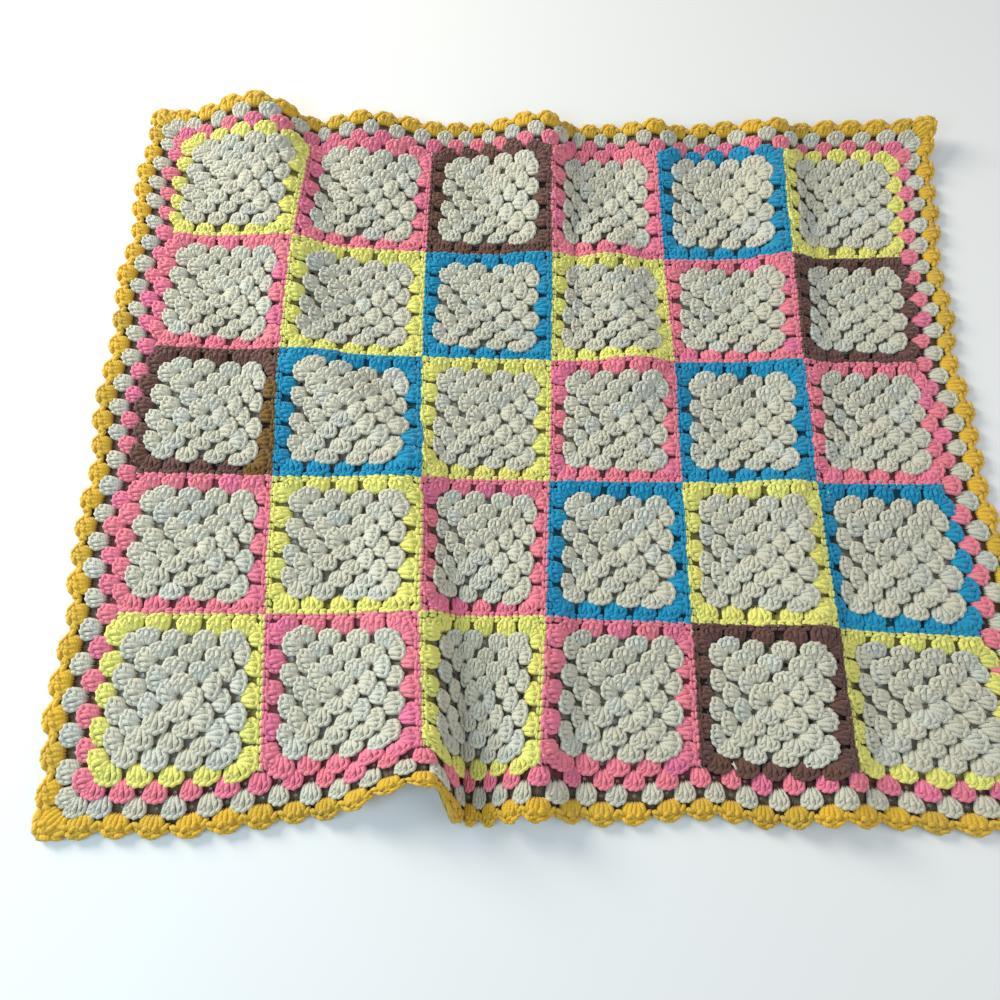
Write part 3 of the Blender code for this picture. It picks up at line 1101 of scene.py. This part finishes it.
def in_scene(name: str, data: bpy.types.ID) -> bpy.types.Object:
    """Puts an object in the scene.

    Args:
        name: Its name.
        data: Its mesh, light or camera.

    Returns:
        The object.
    """
    item = bpy.data.objects.new(name, data)
    bpy.context.scene.collection.objects.link(item)
    return item


def hand_in(piece: bpy.types.Object, yarn: Yarn, nodes: Sequence[str]) -> None:
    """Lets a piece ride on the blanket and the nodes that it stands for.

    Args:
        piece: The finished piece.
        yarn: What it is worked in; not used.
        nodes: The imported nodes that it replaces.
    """
    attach(piece, BODY)
    if nodes:
        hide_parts(*nodes)
    logging.info("%s: %d faces", piece.name, len(piece.data.polygons))


def turned(x: float, y: float, angle: float) -> Place:
    """A place turned round zero."""
    return x * math.cos(angle) - y * math.sin(angle), x * math.sin(angle) + y * math.cos(angle)


def outside(u: float, v: float) -> float:
    """How far a place of the flat cloth lies outside the outer seams."""
    return max(abs(u) - HALF_WIDTH, abs(v) - HALF_DEPTH)


def cluster_between(base: Place, top: Place, width: float, chance: random.Random) -> Stitch:
    """A cluster that reaches from a base to a top.

    Args:
        base: Where it is worked into.
        top: Where its top chain lies.
        width: Its width over the form's own.
        chance: Where its form and tint come from.

    Returns:
        The stitch.
    """
    sway_u, sway_v = (chance.uniform(-UNEVEN, UNEVEN) for _ in range(2))
    across, up = top[0] - base[0], top[1] - base[1]
    return Stitch(
        u=base[0] + sway_u,
        v=base[1] + sway_v,
        turn=math.atan2(up, across) - math.pi / 2,
        form=chance.choice(CLUSTER_FORMS),
        tint=chance.uniform(-1, 1),
        width=width,
        length=math.hypot(across, up) / CLUSTER_LENGTH,
    )


@dataclass
class GrannySquare:
    """One square: four cream rounds and a coloured one, each turned a little on the last."""

    row: int
    column: int
    cluster_width: float = 1.11
    worked_length: float = 0.0152  # of its clusters
    twists: tuple[float, ...] = (-16.0, -15.0, -10.0, -6.0, -3.0, 0.0)  # of rounds 0 to 5, in degrees
    narrowing: float = 0.96  # of the pitch at a round's top
    corner_back: float = 0.0052  # from a round's top back to the next round's corner clusters
    corner_inset: float = 0.0012
    drift: float = 0.0028  # most that the middle ring lies off the middle
    chains: int = 20  # along each edge
    chain_back: float = 0.0017  # from the seam
    chain_clear: float = 0.005  # from the outer seams
    skein_right: float = 0.036  # where the other skein starts, from the middle
    skein_back: float = 0.03
    skein_tint: float = 2.0
    space_half: float = 0.0020
    space_back: float = 0.0019  # from a cluster's base
    corner_space: float = 0.0014
    corner_space_back: float = 0.0072
    edge_space: float = 0.0013
    outer_space: float = 0.0016
    edge_space_back: float = 0.0098  # from the seam

    @property
    def middle(self) -> Place:
        """Cloth coordinates of its middle."""
        return on_cloth(self.column + 0.5, self.row + 0.5)

    @property
    def yarn(self) -> Yarn:
        """The yarn of its last round."""
        return SQUARE_YARNS[self.row][self.column]

    @property
    def node(self) -> str:
        """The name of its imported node."""
        return f"granny_square_r{self.row + 1}_c{self.column + 1}"

    @staticmethod
    def round_top(number: int) -> float:
        """How far a round's top lies from the middle."""
        return SQUARE / 2 - EDGE_BACK - (ROUNDS - number) * ROUND_DEPTH

    def cloth_place(self, x: float, y: float, angle: float, number: float) -> Place:
        """Cloth coordinates of a place in a round, which drifts with the middle ring.

        Args:
            x: Along the round's side, from the middle.
            y: Out from the middle.
            angle: How the side is turned.
            number: The round.

        Returns:
            The u and v of the place.
        """
        chance = random.Random(500 + 10 * self.row + self.column)
        share = 1 - number / ROUNDS
        drift_u, drift_v = (chance.uniform(-self.drift, self.drift) * share for _ in range(2))
        u, v = turned(x, y, angle)
        return u + self.middle[0] + drift_u, v + self.middle[1] + drift_v

    def has_neighbour(self, side: int) -> bool:
        """Whether another square is sewn to this side: 0 back, 1 left, 2 front, 3 right."""
        return (self.row > 0, self.column > 0, self.row < ROWS - 1, self.column < COLUMNS - 1)[side]

    def round_stitches(self, number: int) -> Iterator[Stitch]:
        """The clusters of one round.

        Args:
            number: The round, from 1 at the middle.

        Yields:
            Its clusters, side by side.
        """
        chance = random.Random(1000 * self.row + 100 * self.column + number)
        top = self.round_top(number)
        corner = self.round_top(number - 1) - self.corner_back
        inner_twist, outer_twist = (math.radians(self.twists[ring]) for ring in (number - 1, number))
        for side in range(4):
            turn = side * math.pi / 2
            for cluster in range(number):
                place = (2 * cluster - number + 1) * HALF_PITCH
                base, tip_x = (place, top - self.worked_length), place * self.narrowing
                if number > 1 and cluster in (0, number - 1):
                    base = (math.copysign(corner, place), corner)
                    tip_x -= math.copysign(self.corner_inset, place)
                low = self.cloth_place(*base, inner_twist + turn, number - 1)
                high = self.cloth_place(tip_x, top, outer_twist + turn, number)
                yield cluster_between(low, high, self.cluster_width, chance)

    def cream_stitches(self) -> list[Stitch]:
        """The clusters of the cream rounds."""
        return [stitch for number in range(1, ROUNDS) for stitch in self.round_stitches(number)]

    def coloured_stitches(self) -> list[Stitch]:
        """The stitches of the last round.

        Returns:
            Its clusters and the chains along its sewn edges.
        """
        stitches = [*self.round_stitches(ROUNDS), *self.edge_chains()]
        if (self.row, self.column) != OTHER_SKEIN:
            return stitches
        return [
            stitch._replace(tint=self.skein_tint) if self.in_other_skein(stitch) else stitch
            for stitch in stitches
        ]

    def in_other_skein(self, stitch: Stitch) -> bool:
        """Whether a stitch lies on the right side, below the back corner."""
        middle_u, middle_v = self.middle
        return stitch.u - middle_u > self.skein_right and stitch.v < middle_v + self.skein_back

    def edge_chains(self) -> Iterator[Stitch]:
        """The chains along the sewn edges, which stop short of the border.

        Yields:
            The chains, edge by edge.
        """
        chance = random.Random(77 + 10 * self.row + self.column)
        middle_u, middle_v = self.middle
        for side in filter(self.has_neighbour, range(4)):
            turn = side * math.pi / 2
            for number in range(self.chains):
                along = SQUARE * ((number + 0.5) / self.chains - 0.5)
                x, y = turned(along, SQUARE / 2 - self.chain_back, turn)
                u, v = x + middle_u, y + middle_v
                if outside(u, v) <= -self.chain_clear:
                    yield Stitch(u, v, turn, Form.CHAIN, chance.uniform(-1, 1))

    def spaces(self) -> Iterator[Space]:
        """The open spaces between its clusters.

        Yields:
            The spaces, round by round.
        """
        for number in range(2, ROUNDS + 1):
            twist = math.radians(self.twists[number - 1])
            corner = self.round_top(number - 1) - self.corner_space_back
            line = self.round_top(number) - self.worked_length - self.space_back
            spots = [(corner, corner, self.corner_space)]
            for space in range(1, number - 1):
                spots.append(((2 * space - number + 1) * HALF_PITCH, line, self.space_half))
            for side in range(4):
                for x, y, half in spots:
                    yield Space(*self.cloth_place(x, y, twist + side * math.pi / 2, number - 1), half)
        for side in range(4):
            half = self.edge_space if self.has_neighbour(side) else self.outer_space
            for space in (-3, -1, 1, 3):
                x, y = space * HALF_PITCH * self.narrowing, SQUARE / 2 - self.edge_space_back
                yield Space(*self.cloth_place(x, y, side * math.pi / 2, ROUNDS), half)


@dataclass
class Squares:
    """The thirty squares."""

    worker: Worker

    def all(self) -> list[GrannySquare]:
        """The squares, row by row from the back."""
        return [GrannySquare(row, column) for row in range(ROWS) for column in range(COLUMNS)]

    def build(self) -> list[bpy.types.Object]:
        """Works the squares.

        Returns:
            One piece for each row's cream rounds, and one for each colour.
        """
        pieces = []
        for row in range(ROWS):
            mine = [square for square in self.all() if square.row == row]
            stitches = [stitch for square in mine for stitch in square.cream_stitches()]
            nodes = [square.node for square in mine]
            pieces.append(self.worker.work(f"cream_rounds_row_{row + 1}", stitches, Yarn.CREAM, nodes))
        for yarn in (Yarn.YELLOW, Yarn.PINK, Yarn.BROWN, Yarn.BLUE):
            mine = [square for square in self.all() if square.yarn == yarn]
            stitches = [stitch for square in mine for stitch in square.coloured_stitches()]
            nodes = [square.node for square in mine]
            pieces.append(self.worker.work(f"{yarn.name.lower()}_last_rounds", stitches, yarn, nodes))
        return pieces


class Side(NamedTuple):
    """One side of the field of squares, with the border's places along it."""

    half: float  # of its length
    away: float  # from the middle of the cloth
    turn: float

    @property
    def steps(self) -> int:
        """How many clusters' pitches it is long."""
        return round(2 * self.half / PITCH)

    def along(self, number: float) -> float:
        """The place of a cluster's number, from the middle of the side."""
        return PITCH * number - self.half

    def place(self, along: float, out: float) -> Place:
        """Cloth coordinates of a place along the side and out from its seam."""
        return turned(along, self.away + out, self.turn)


def sides() -> Iterator[Side]:
    """The sides of the field of squares.

    Yields:
        The back, left, front and right sides.
    """
    for side in range(4):
        half, away = (HALF_WIDTH, HALF_DEPTH) if side % 2 == 0 else (HALF_DEPTH, HALF_WIDTH)
        yield Side(half, away, side * math.pi / 2)


@dataclass
class BorderRounds:
    """The three rounds of the border."""

    worker: Worker
    cluster_width: float = 0.95
    corner_base: float = 0.0166  # from a round's top back to its corner space
    corner_lean: float = 0.0024
    corner_shell: float = 0.0130  # its base, out from both seams
    corner_shell_size: tuple[float, float] = (1.25, 1.28)
    space_half: float = 0.0014
    space_lines: tuple[Place, ...] = ((0.0018, 0.5), (0.0126, 0.0))  # out from the seam, and its first step
    space_clear: float = 0.004  # from a side's ends

    def clusters(self, top: float, on_seam: bool, seed: int) -> Iterator[Stitch]:
        """The clusters of one round.

        Args:
            top: How far its top lies from the outer seam.
            on_seam: Whether its clusters stand at whole steps from a corner.
            seed: Where its unevenness comes from.

        Yields:
            Its clusters, with two at each corner.
        """
        chance = random.Random(seed)
        corner = top - self.corner_base
        for side in sides():
            numbers = range(1, side.steps) if on_seam else [step + 0.5 for step in range(side.steps)]
            for along in map(side.along, numbers):
                base, tip = side.place(along, top - CLUSTER_LENGTH), side.place(along, top)
                yield cluster_between(base, tip, self.cluster_width, chance)
            for end in (-1, 1):
                base = side.place(end * (side.half + corner), corner)
                tip = side.place(end * (side.half + corner + self.corner_lean), top)
                yield cluster_between(base, tip, self.cluster_width, chance)

    def shells(self) -> Iterator[Stitch]:
        """The pointed shells of the last round.

        Yields:
            Its shells, with a larger one at each corner.
        """
        chance = random.Random(5)
        base = SHELL_TIP - ShellForm.depth
        for side in sides():
            for number in range(side.steps + 1):
                u, v = side.place(side.along(number), base)
                yield Stitch(u, v, side.turn, Form.SHELL, chance.uniform(-1, 1))
            u, v = side.place(side.half + self.corner_shell, self.corner_shell)
            turn = side.turn - math.pi / 4
            yield Stitch(u, v, turn, Form.SHELL, chance.uniform(-1, 1), *self.corner_shell_size)

    def build(self) -> list[bpy.types.Object]:
        """Works the three rounds.

        Returns:
            One piece for each round.
        """
        return [
            self.worker.work(name, list(stitches), yarn, [node])
            for name, yarn, stitches, node in (
                ("pink_border", Yarn.PINK, self.clusters(PINK_TOP, True, 31), "border_round_1_pink"),
                ("cream_border", Yarn.CREAM, self.clusters(CREAM_TOP, False, 32), "border_round_2_cream"),
                ("gold_shells", Yarn.GOLD, self.shells(), "border_round_3_gold"),
            )
        ]

    def spaces(self) -> Iterator[Space]:
        """The open spaces between its clusters.

        Yields:
            The spaces, round by round.
        """
        for side in sides():
            for out, first in self.space_lines:
                for number in range(side.steps + 1):
                    along = side.along(number + first)
                    if abs(along) < side.half - self.space_clear:
                        yield Space(*side.place(along, out), self.space_half)


@dataclass
class Sewing:
    """The whip stitches that join the squares, and the yarn ends."""

    worker: Worker
    stitches_a_seam: int = 9
    sway: float = 0.2  # in radians
    # A yarn end's two strands: further turn, tint, width and length
    end_strands: tuple[tuple[float, ...], ...] = ((0.0, 0.0, 1.6, 1.8), (0.4, 0.5, 1.2, 1.8))

    def build(self) -> bpy.types.Object:
        """Sews every seam between two squares.

        Returns:
            The piece.
        """
        chance = random.Random(9)
        stitches = []
        for column in range(COLUMNS + 1):
            for row in range(ROWS + 1):
                if 0 < column < COLUMNS and row < ROWS:
                    stitches += self.seam(column, row, True, chance)
                if 0 < row < ROWS and column < COLUMNS:
                    stitches += self.seam(column, row, False, chance)
        for across, down, turn in YARN_ENDS:
            place = on_cloth(across, down)
            for further, tint, width, length in self.end_strands:
                stitches.append(Stitch(*place, turn + further, Form.WHIP, tint, width, length))
        return self.worker.work("whip_stitches", stitches, Yarn.CREAM, [])

    def seam(self, column: int, row: int, upright: bool, chance: random.Random) -> Iterator[Stitch]:
        """Sews one seam.

        Args:
            column: The seam's back left end, in squares.
            row: The same, from the back.
            upright: Whether it runs from back to front, and not across.
            chance: Where its unevenness comes from.

        Yields:
            Its stitches.
        """
        for number in range(self.stitches_a_seam):
            run = (number + 0.5) / self.stitches_a_seam
            u, v = on_cloth(column, row + run) if upright else on_cloth(column + run, row)
            turn = (math.pi / 2 if upright else 0.0) + chance.uniform(-self.sway, self.sway)
            yield Stitch(u, v, turn, Form.WHIP, chance.uniform(-1, 1))


@dataclass
class Ground:
    """The loops under the clusters, as one thin sheet with its spaces open, its upper face darkened with
    painted shade.
    """

    worker: Worker
    low: float = 0.0002
    high: float = 0.0015
    edge_back: float = 0.0022
    edge_steps: int = 4  # of its edge along one shell
    space_sides: int = 6
    grid: float = 0.0115
    grid_back: float = 0.004  # from the shells' valleys to the outermost grid points
    clear: float = 0.0055  # from a grid point to the middle of the nearest space
    nearness: float = 1e-6  # of points that are one
    around: float = 0.004  # metres of the sheet to one turn on the strand's map
    sewn_edge: float = 0.0075  # reach of a sewn edge's chain from its seam
    # Shares of painted light on the upper face: along a sewn edge, between clusters in the squares, and in
    # the border
    sewn_light: float = 0.6
    inner_light: float = 0.18
    outer_light: float = 0.0
    pink_reach: float = 0.007  # of the border rounds' colours, from the outer seams
    cream_reach: float = 0.0175
    colour_back: float = 0.002  # how far a square's colour reaches in over its cream rounds

    def build(self, spaces: Sequence[Space]) -> bpy.types.Object:
        """Cuts, colours and lays the sheet.

        Args:
            spaces: What stays open in it.

        Returns:
            The sheet.
        """
        mesh = self.cut(spaces)
        raised = bmesh.ops.extrude_face_region(mesh, geom=mesh.faces[:])
        upper = {item for item in raised["geom"] if isinstance(item, bmesh.types.BMVert)}
        for point in mesh.verts:
            point.co.z = self.high if point in upper else self.low
        bmesh.ops.recalc_face_normals(mesh, faces=mesh.faces[:])
        layer = mesh.loops.layers.uv.new(STRAND_MAP)
        for face in mesh.faces:
            for corner in face.loops:
                corner[layer].uv = (corner.vert.co.x, corner.vert.co.y / self.around)
        data = bpy.data.meshes.new("ground_loops")
        mesh.to_mesh(data)
        mesh.free()
        yarns = list(Yarn)
        for yarn in yarns:
            data.materials.append(FINISHES[yarn].material())
        for face in data.polygons:
            face.material_index = yarns.index(self.yarn_at(face.center.x, face.center.y))
        piece = in_scene("ground_loops", data)
        lights = [self.light(point.co) for point in data.vertices]
        self.worker.lay(piece)
        data.attributes[PAINTED_LIGHT].data.foreach_set("value", lights)
        hand_in(piece, Yarn.CREAM, [])
        return piece

    def light(self, place: Vector) -> float:
        """Works out the painted light on a point of the flat sheet.

        Args:
            place: The point.

        Returns:
            Painted shade: little light between clusters, more along a sewn edge, and full light on the
                underside.
        """
        if place.z < self.high:
            return 1.0
        if outside(place.x, place.y) > 0:
            return self.outer_light
        across, down = in_squares(place.x, place.y)
        near = min(
            abs(across - min(max(round(across), 1), COLUMNS - 1)),
            abs(down - min(max(round(down), 1), ROWS - 1)),
        )
        return self.sewn_light if near * SQUARE < self.sewn_edge else self.inner_light

    def outline(self) -> list[Place]:
        """Works out the sheet's edge.

        Returns:
            Its corners, a little inside the shells' edge.
        """
        form = ShellForm(seed=0)
        places = []
        for side in sides():
            for number in range(side.steps * self.edge_steps + 1):
                along = side.half - PITCH * number / self.edge_steps
                nearest = side.along(round((along + side.half) / PITCH))
                reach = SHELL_TIP - form.depth + form.edge(along - nearest)
                places.append(side.place(along, reach - self.edge_back))
            corner = CORNER_REACH - self.edge_back
            places.append(side.place(-side.half - corner, corner))
        return places

    def cut(self, spaces: Sequence[Space]) -> bmesh.types.BMesh:
        """Cuts the flat sheet.

        Args:
            spaces: What is cut out of it.

        Returns:
            Its mesh.
        """
        edge = self.outline()
        points = [Vector(place) for place in edge]
        loops = [list(range(len(edge)))]
        for u, v, half in spaces:
            start = len(points)
            for side in range(self.space_sides):
                angle = math.tau * side / self.space_sides
                points.append(Vector((u + half * math.cos(angle), v + half * math.sin(angle))))
            loops.append(list(range(start, len(points))))
        middles = np.array([(space.u, space.v) for space in spaces])
        reach_u, reach_v = (half + SHELL_VALLEY - self.grid_back for half in (HALF_WIDTH, HALF_DEPTH))
        for u in np.arange(-reach_u, reach_u, self.grid):
            for v in np.arange(-reach_v, reach_v, self.grid):
                if np.min(np.hypot(middles[:, 0] - u, middles[:, 1] - v)) > self.clear:
                    points.append(Vector((u, v)))
        found, _, faces, _, _, owners = delaunay_2d_cdt(points, [], loops, 0, self.nearness)
        mesh = bmesh.new()
        corners = [mesh.verts.new((place.x, place.y, 0)) for place in found]
        for face, owner in zip(faces, owners):
            if list(owner) == [0]:
                mesh.faces.new([corners[number] for number in face])
        loose = [point for point in mesh.verts if not point.link_faces]
        bmesh.ops.delete(mesh, geom=loose, context="VERTS")
        return mesh

    def yarn_at(self, u: float, v: float) -> Yarn:
        """Finds the yarn that is worked at a place of the flat cloth.

        Args:
            u: Cloth coordinate to the right.
            v: Cloth coordinate to the back.

        Returns:
            The yarn.
        """
        out = outside(u, v)
        if out > 0:
            return Yarn.PINK if out < self.pink_reach else Yarn.CREAM if out < self.cream_reach else Yarn.GOLD
        across, down = in_squares(u, v)
        column, row = min(int(across), COLUMNS - 1), min(int(down), ROWS - 1)
        away = max(abs(across - column - 0.5), abs(down - row - 0.5)) * SQUARE
        in_cream = away <= GrannySquare.round_top(ROUNDS - 1) - self.colour_back
        return Yarn.CREAM if in_cream else SQUARE_YARNS[row][column]


class Lamp(NamedTuple):
    """A soft light that faces the middle of the blanket."""

    name: str
    place: tuple[float, float, float]
    power: float  # watts
    size: float
    colour: Colour


@dataclass
class Studio:
    """The floor, the soft lights and the camera at the photograph's angle."""

    camera_place: tuple[float, float, float] = (-0.07181, -0.27116, 0.58429)
    camera_turn: tuple[float, float, float] = (18.5054, -2.6926, 1.6935)  # degrees
    lens: float = 27.145  # millimetres, on a sensor of 36
    sensor: float = 36.0
    nearest: float = 0.01
    floor_size: float = 6.0
    floor_drop: float = 0.0004
    floor_colour: Colour = (0.88, 0.88, 0.87)
    floor_roughness: float = 0.9
    lamps: tuple[Lamp, ...] = (
        Lamp("key", (-1.65, 0.85, 0.85), 46.0, 0.8, (1.0, 0.95, 0.83)),
        Lamp("fill", (1.5, -0.4, 1.0), 13.0, 1.6, (0.95, 0.95, 0.92)),
        Lamp("cool", (-0.8, -0.5, 0.8), 4.5, 0.5, (0.50, 0.80, 1.0)),
    )
    sky_colour: Colour = (0.86, 0.92, 1.0)
    sky_strength: float = 0.33

    def build(self) -> None:
        """Sets up the whole studio."""
        self.floor()
        self.lights()
        self.camera()

    def floor(self) -> None:
        """A plain pale floor just under the cloth."""
        mesh = bmesh.new()
        bmesh.ops.create_grid(mesh, x_segments=1, y_segments=1, size=self.floor_size / 2)
        bmesh.ops.translate(mesh, verts=mesh.verts[:], vec=(0, 0, -self.floor_drop))
        data = bpy.data.meshes.new("floor")
        mesh.to_mesh(data)
        mesh.free()
        paint = {"Base Color": (*self.floor_colour, 1), "Roughness": self.floor_roughness}
        data.materials.append(Shader("pale_floor").finish(paint))
        in_scene("floor", data)

    def lights(self) -> None:
        """A warm key from the back left, a weak fill from the right, a cool touch and a pale sky."""
        for lamp in self.lamps:
            light = bpy.data.lights.new(lamp.name, "AREA")
            light.energy = lamp.power
            light.size = lamp.size
            light.color = lamp.colour
            item = in_scene(lamp.name, light)
            item.location = lamp.place
            item.rotation_euler = (-Vector(lamp.place)).to_track_quat("-Z", "Y").to_euler()
        world = bpy.data.worlds.new("sky")
        world.use_nodes = True
        background = world.node_tree.nodes["Background"]
        background.inputs["Color"].default_value = (*self.sky_colour, 1)
        background.inputs["Strength"].default_value = self.sky_strength
        bpy.context.scene.world = world
        bpy.context.scene.view_settings.view_transform = "Standard"

    def camera(self) -> None:
        """The camera, where the photograph was taken from."""
        data = bpy.data.cameras.new("camera")
        data.lens = self.lens
        data.sensor_width = self.sensor
        data.clip_start = self.nearest
        item = in_scene("camera", data)
        item.location = self.camera_place
        item.rotation_euler = [math.radians(angle) for angle in self.camera_turn]
        bpy.context.scene.camera = item


def main() -> None:
    """Builds the studio and the blanket."""
    logging.basicConfig(level=logging.INFO, format="%(message)s")
    Studio().build()
    worker = Worker()
    worker.prepare()
    squares = Squares(worker)
    border = BorderRounds(worker)
    pieces = [*squares.build(), *border.build(), Sewing(worker).build()]
    spaces = [space for square in squares.all() for space in square.spaces()]
    ground = Ground(worker).build([*spaces, *border.spaces()])
    worker.put_away()


if __name__ == "__main__":
    main()
